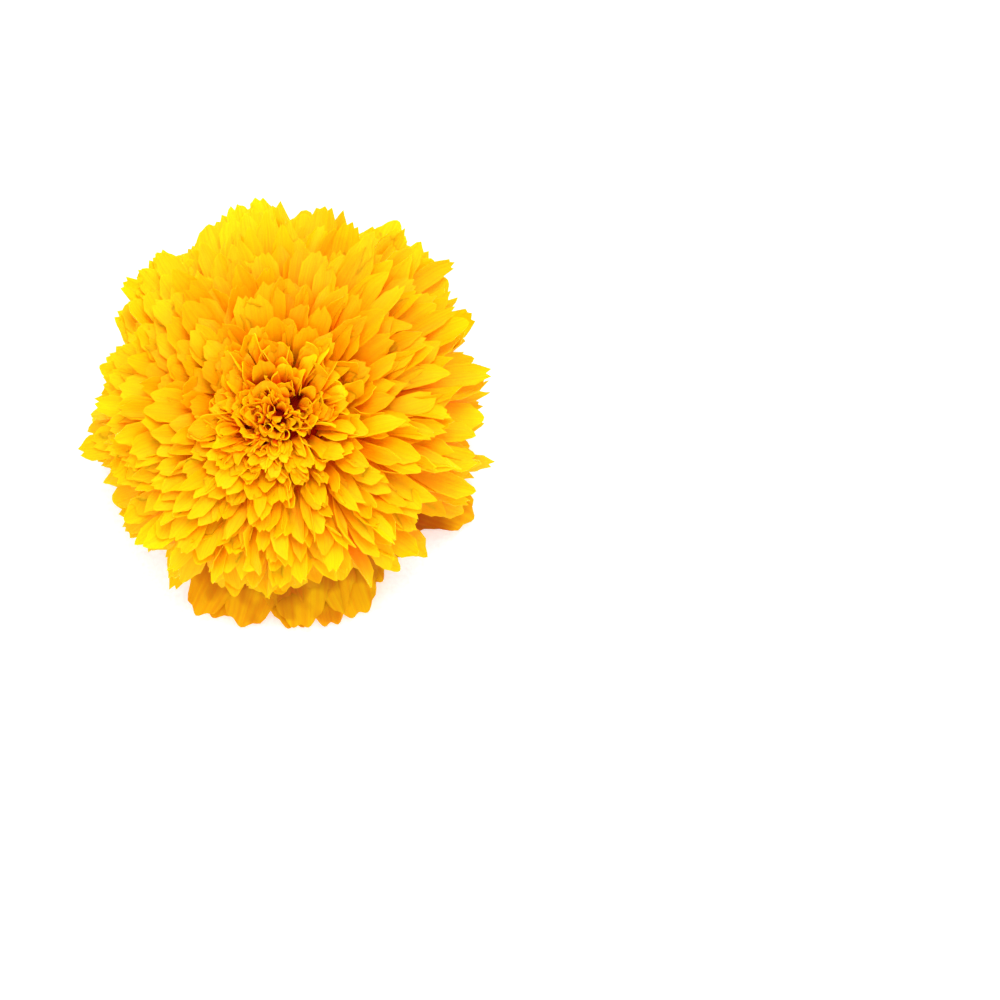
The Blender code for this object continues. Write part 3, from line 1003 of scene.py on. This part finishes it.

# %% [markdown]
# ## Petal finish
# A marigold's petal is thin, matt and full of yellow pigment. It glows: light goes in on one side and
# comes out of the other, deeper in hue. The colour runs from orange at the root to yellow at the tip,
# partly the petal's own colour and partly painted shade where the roots lie under other florets. The
# middle of the head is more orange than its rim, so two ramps follow how ripe a place is, and a third
# number, the distance from the axis, mixes them. Soft patches and each floret's own shade keep the
# florets from looking alike.

# %% Petal colour
PATCH_SIZE = 6 * MM
RIM_STANDING, MIDDLE_STANDING = 0.88, 0.12
SHADE_TINTS = ((0.0, "FFEBFF"), (0.5, "FFF6FF"), (1.0, "FFFFFF"))


def ripe_and_shaded_colour(tree, shade, rim_stops, inner_stops, patchy):
    """The petal's colour with its painted root shade, without its veins. patchy says how far soft
    patches shift it.
    """
    ripe_and_shade = add_node(tree, "ShaderNodeAttribute", attribute_name="ripe_and_shade").outputs["Fac"]
    standing = add_node(tree, "ShaderNodeAttribute", attribute_name="standing").outputs["Fac"]
    place = add_node(tree, "ShaderNodeTexCoord").outputs["Object"]
    patches = add_node(
        tree, "ShaderNodeTexNoise", {"Vector": place, "Scale": 1 / PATCH_SIZE, "Detail": 1.0}
    ).outputs["Fac"]
    shift = add_node(
        tree, "ShaderNodeMath", {0: patches, 1: patchy, 2: -patchy / 2}, operation="MULTIPLY_ADD"
    ).outputs["Value"]
    shifted = add_node(tree, "ShaderNodeMath", {0: ripe_and_shade, 1: shift}, operation="ADD").outputs["Value"]
    rim = set_stops(add_node(tree, "ShaderNodeValToRGB", {"Fac": shifted}), rim_stops)
    inner = set_stops(add_node(tree, "ShaderNodeValToRGB", {"Fac": shifted}), inner_stops)
    tint = set_stops(add_node(tree, "ShaderNodeValToRGB", {"Fac": shade}), SHADE_TINTS)
    inward = add_node(
        tree,
        "ShaderNodeMapRange",
        {"Value": standing, "From Min": RIM_STANDING, "From Max": MIDDLE_STANDING},
    ).outputs["Result"]
    toned = add_node(
        tree, "ShaderNodeMix", {FACTOR: inward, FIRST: rim, SECOND: inner}, **BLEND
    ).outputs[MIXED]
    return add_node(
        tree, "ShaderNodeMix", {FACTOR: 1.0, FIRST: toned, SECOND: tint}, **MULTIPLY
    ).outputs[MIXED]


print("soft patches of colour are", round(PATCH_SIZE / MM), "mm wide")

# %% [markdown]
# ## Veins and glow
# Fine veins run along a petal, about sixteen across its width. They follow the petal however it is
# bent, so they are a noise on the flat strap's own UV map, stretched along it and moved by the shade,
# so that each floret has its own. The same noise raises them a little. Subsurface light gives the
# glow: yellow light goes far in the petal, and blue hardly at all.

# %% Petal material
VEINS_ACROSS, VEINS_ALONG = 16, 1.2
VEIN_RELIEF = 0.1 * MM
GLOW_DEPTH = 0.7 * MM


def vein_noise(tree, shade):
    """A noise in streaks along the petal, which the shade moves to a place of its own."""
    uv = add_node(tree, "ShaderNodeUVMap", uv_map="UVMap").outputs["UV"]
    stretched = add_node(
        tree, "ShaderNodeVectorMath", {0: uv, 1: (VEINS_ACROSS, VEINS_ALONG, 1)}, operation="MULTIPLY"
    ).outputs["Vector"]
    own_place = add_node(tree, "ShaderNodeCombineXYZ", {"Z": shade, "Y": shade}).outputs["Vector"]
    moved = add_node(
        tree,
        "ShaderNodeVectorMath",
        {0: own_place, 1: (1, 17, 31), 2: stretched},
        operation="MULTIPLY_ADD",
    ).outputs["Vector"]
    return add_node(
        tree, "ShaderNodeTexNoise", {"Vector": moved, "Scale": 1.0, "Detail": 2.0}
    ).outputs["Fac"]


def petal_finish(name, rim_stops, inner_stops, glow=0.5, patchy=0.25, vein="FFE4FF"):
    """A petal's finish. Its colour ripens, with painted shade at the roots, by rim_stops at the rim of
    the head and by inner_stops in its middle. vein tints the fine streaks."""
    material, tree, shader = new_finish(name)
    shade = add_node(tree, "ShaderNodeAttribute", attribute_name="shade").outputs["Fac"]
    petal = ripe_and_shaded_colour(tree, shade, rim_stops, inner_stops, patchy)
    veins = vein_noise(tree, shade)
    vein_ramp = add_node(tree, "ShaderNodeValToRGB", {"Fac": veins})
    streaks = set_stops(vein_ramp, ((0.3, vein), (0.6, "FFFFFF")))
    veined = add_node(
        tree, "ShaderNodeMix", {FACTOR: 0.7, FIRST: petal, SECOND: streaks}, **MULTIPLY
    ).outputs[MIXED]
    raised = add_node(
        tree, "ShaderNodeBump", {"Height": veins, "Strength": 0.25, "Distance": VEIN_RELIEF}
    ).outputs["Normal"]
    feed(shader, {"Base Color": veined, "Normal": raised})
    feed(shader, {"Roughness": 0.62, "Specular IOR Level": 0.08})
    feed(shader, {"Subsurface Weight": glow, "Subsurface Scale": GLOW_DEPTH})
    feed(shader, {"Subsurface Radius": (1.0, 0.85, 0.1)})
    return material


# %% Petals of the dome, the guard ring and the centre
# the orange first stops of these ramps are partly painted shade at the roots of the florets
golden_petal = petal_finish(
    "golden_petal",
    ((0.0, "E26A00"), (0.35, "F29800"), (0.6, "FABA00"), (0.8, "FFCE00"), (1.0, "FFD400")),
    ((0.0, "FAB400"), (0.45, "FCBC00"), (0.7, "FDC200"), (0.9, "FFCA00"), (1.0, "FFD000")),
)
# the guard ramp is darker than the dome's and darkest at the root: painted shade beneath the dome
GUARD_STOPS = ((0.0, "943800"), (0.5, "B85800"), (0.78, "D08400"), (0.93, "E8AA00"), (1.0, "FAC800"))
guard_petal = petal_finish(
    "shaded_golden_petal", GUARD_STOPS, GUARD_STOPS, glow=0.15, patchy=0.6, vein="F4CCFF"
)
# the dark red first stop of the inner ramp is partly the young florets' own colour, partly painted
# shade deep between them
centre_petal = petal_finish(
    "young_orange_petal",
    ((0.0, "F89C00"), (0.4, "FAAE00"), (0.7, "FDBE00"), (0.88, "FFCC00"), (1.0, "FFD600")),
    ((0.0, "C83000"), (0.22, "EE7000"), (0.42, "FAAE00"), (0.7, "FFC400"), (1.0, "FFD800")),
)
print("a petal's finish has", len(golden_petal.node_tree.nodes), "nodes")

# %% [markdown]
# ## Finish of the imported tubes
# The tubes are orange, and deep red-brown in the middle of the head, partly their own colour where they
# are youngest and partly painted shade of the deep pockets. Each tube is a cell about 1.6 mm wide,
# raised in its middle, where its colour is multiplied redder. Object coordinates are in metres, so a
# Voronoi scale is one over the cell's size.

# %% Core material
TUBE_SPACING = 1.6 * MM
TUBE_RELIEF = 0.5 * MM
DEEP_RADIUS = 14 * MM

tube_core, tree, tube_shader = new_finish("packed_petal_tubes")
place = add_node(tree, "ShaderNodeTexCoord").outputs["Object"]
cells = add_node(tree, "ShaderNodeTexVoronoi", {"Vector": place, "Scale": 1 / TUBE_SPACING})
crown_height = add_node(
    tree,
    "ShaderNodeMapRange",
    {"Value": cells.outputs["Distance"], "From Max": 0.6, "To Min": 1.0, "To Max": 0.0},
).outputs["Result"]
flat_place = add_node(
    tree, "ShaderNodeVectorMath", {0: place, 1: (1, 1, 0)}, operation="MULTIPLY"
).outputs["Vector"]
from_axis = add_node(
    tree, "ShaderNodeVectorMath", {0: flat_place}, operation="LENGTH"
).outputs["Value"]
radial = add_node(
    tree, "ShaderNodeMapRange", {"Value": from_axis, "From Max": DEEP_RADIUS}
).outputs["Result"]
tube_ramp = add_node(tree, "ShaderNodeValToRGB", {"Fac": radial})
# dark red in the middle: partly the tubes' own colour, partly painted shade of the deep pockets
deepening = set_stops(
    tube_ramp, ((0.1, "8C0E00"), (0.65, "B42400"), (0.85, "DA5800"), (1.0, "EA8A00"))
)
# each cell's colour is multiplied redder towards its raised middle
crown_mix = {FACTOR: crown_height, FIRST: deepening, SECOND: colour("FFD0C0")}
crowned = add_node(tree, "ShaderNodeMix", crown_mix, **MULTIPLY).outputs[MIXED]
raised = add_node(
    tree, "ShaderNodeBump", {"Height": crown_height, "Strength": 0.8, "Distance": TUBE_RELIEF}
).outputs["Normal"]
feed(tube_shader, {"Base Color": crowned, "Normal": raised})
feed(tube_shader, {"Roughness": 0.7, "Specular IOR Level": 0.05})
print("packed tubes are", round(TUBE_SPACING / MM, 1), "mm apart")

# %% [markdown]
# ## Finish of the cup
# The cup is waxy and grey-green, with fine fibres that run up it. Between the ribs lie dark oil
# glands, narrow dots about a millimetre long. The cut end of the stalk shows its pale pith.

# %% Cup material
GLAND_SPACING = 1.9 * MM
FIBRE_SPACING = 0.9 * MM
FIBRE_RELIEF = 0.15 * MM

waxy_green, tree, green_shader = new_finish("waxy_green_cup")
place = add_node(tree, "ShaderNodeTexCoord").outputs["Object"]
upright = add_node(
    tree, "ShaderNodeVectorMath", {0: place, 1: (1, 1, 0.12)}, operation="MULTIPLY"
).outputs["Vector"]
fibres = add_node(
    tree, "ShaderNodeTexNoise", {"Vector": upright, "Scale": 1 / FIBRE_SPACING, "Detail": 3.0}
).outputs["Fac"]
fibre_ramp = add_node(tree, "ShaderNodeValToRGB", {"Fac": fibres})
greens = set_stops(fibre_ramp, ((0.3, "4F6B26"), (0.5, "6A8438"), (0.72, "8FA357")))
longish = add_node(
    tree, "ShaderNodeVectorMath", {0: place, 1: (1, 1, 0.5)}, operation="MULTIPLY"
).outputs["Vector"]
glands = add_node(
    tree, "ShaderNodeTexVoronoi", {"Vector": longish, "Scale": 1 / GLAND_SPACING}
).outputs["Distance"]
gland_edge = add_node(
    tree, "ShaderNodeMapRange", {"Value": glands, "From Min": 0.13, "From Max": 0.2}
).outputs["Result"]
gland_mix = {FACTOR: gland_edge, FIRST: colour("4A2C14"), SECOND: greens}
dotted = add_node(tree, "ShaderNodeMix", gland_mix, **BLEND).outputs[MIXED]
height_of = add_node(tree, "ShaderNodeSeparateXYZ", {"Vector": place}).outputs["Z"]
above_cut = add_node(
    tree, "ShaderNodeMapRange", {"Value": height_of, "From Min": 0.02 * MM, "From Max": 0.15 * MM}
).outputs["Result"]
cut_mix = {FACTOR: above_cut, FIRST: colour("D6DCA8"), SECOND: dotted}
finished = add_node(tree, "ShaderNodeMix", cut_mix, **BLEND).outputs[MIXED]
raised = add_node(
    tree, "ShaderNodeBump", {"Height": fibres, "Strength": 0.3, "Distance": FIBRE_RELIEF}
).outputs["Normal"]
feed(green_shader, {"Base Color": finished, "Normal": raised, "Roughness": 0.5})
print("oil glands are about", round(GLAND_SPACING / MM, 1), "mm apart")

# %% [markdown]
# ## Dressing the plain model
# Each piece gets its finish and takes the place of the plain node that it dresses. The flat straps
# were only patterns to copy, so they are removed.

# %% Finishes on the pieces
for piece, finish, node in (
    (inner_rays, golden_petal, "ray_florets"),
    (middle_rays, golden_petal, "ray_florets"),
    (outer_rays, golden_petal, "ray_florets"),
    (core, tube_core, "ray_florets"),
    (centre_florets, centre_petal, "disc_florets"),
    (guard_florets, guard_petal, "guard_florets"),
    (cup, waxy_green, "calyx"),
):
    piece.data.materials.clear()
    piece.data.materials.append(finish)
    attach(piece, "root")
    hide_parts(node)
    print(piece.name, "takes the place of", node)

for strap in (*ray_straps.values(), *centre_straps, tube_strap, style_strap, *guard_straps):
    bpy.data.objects.remove(strap)
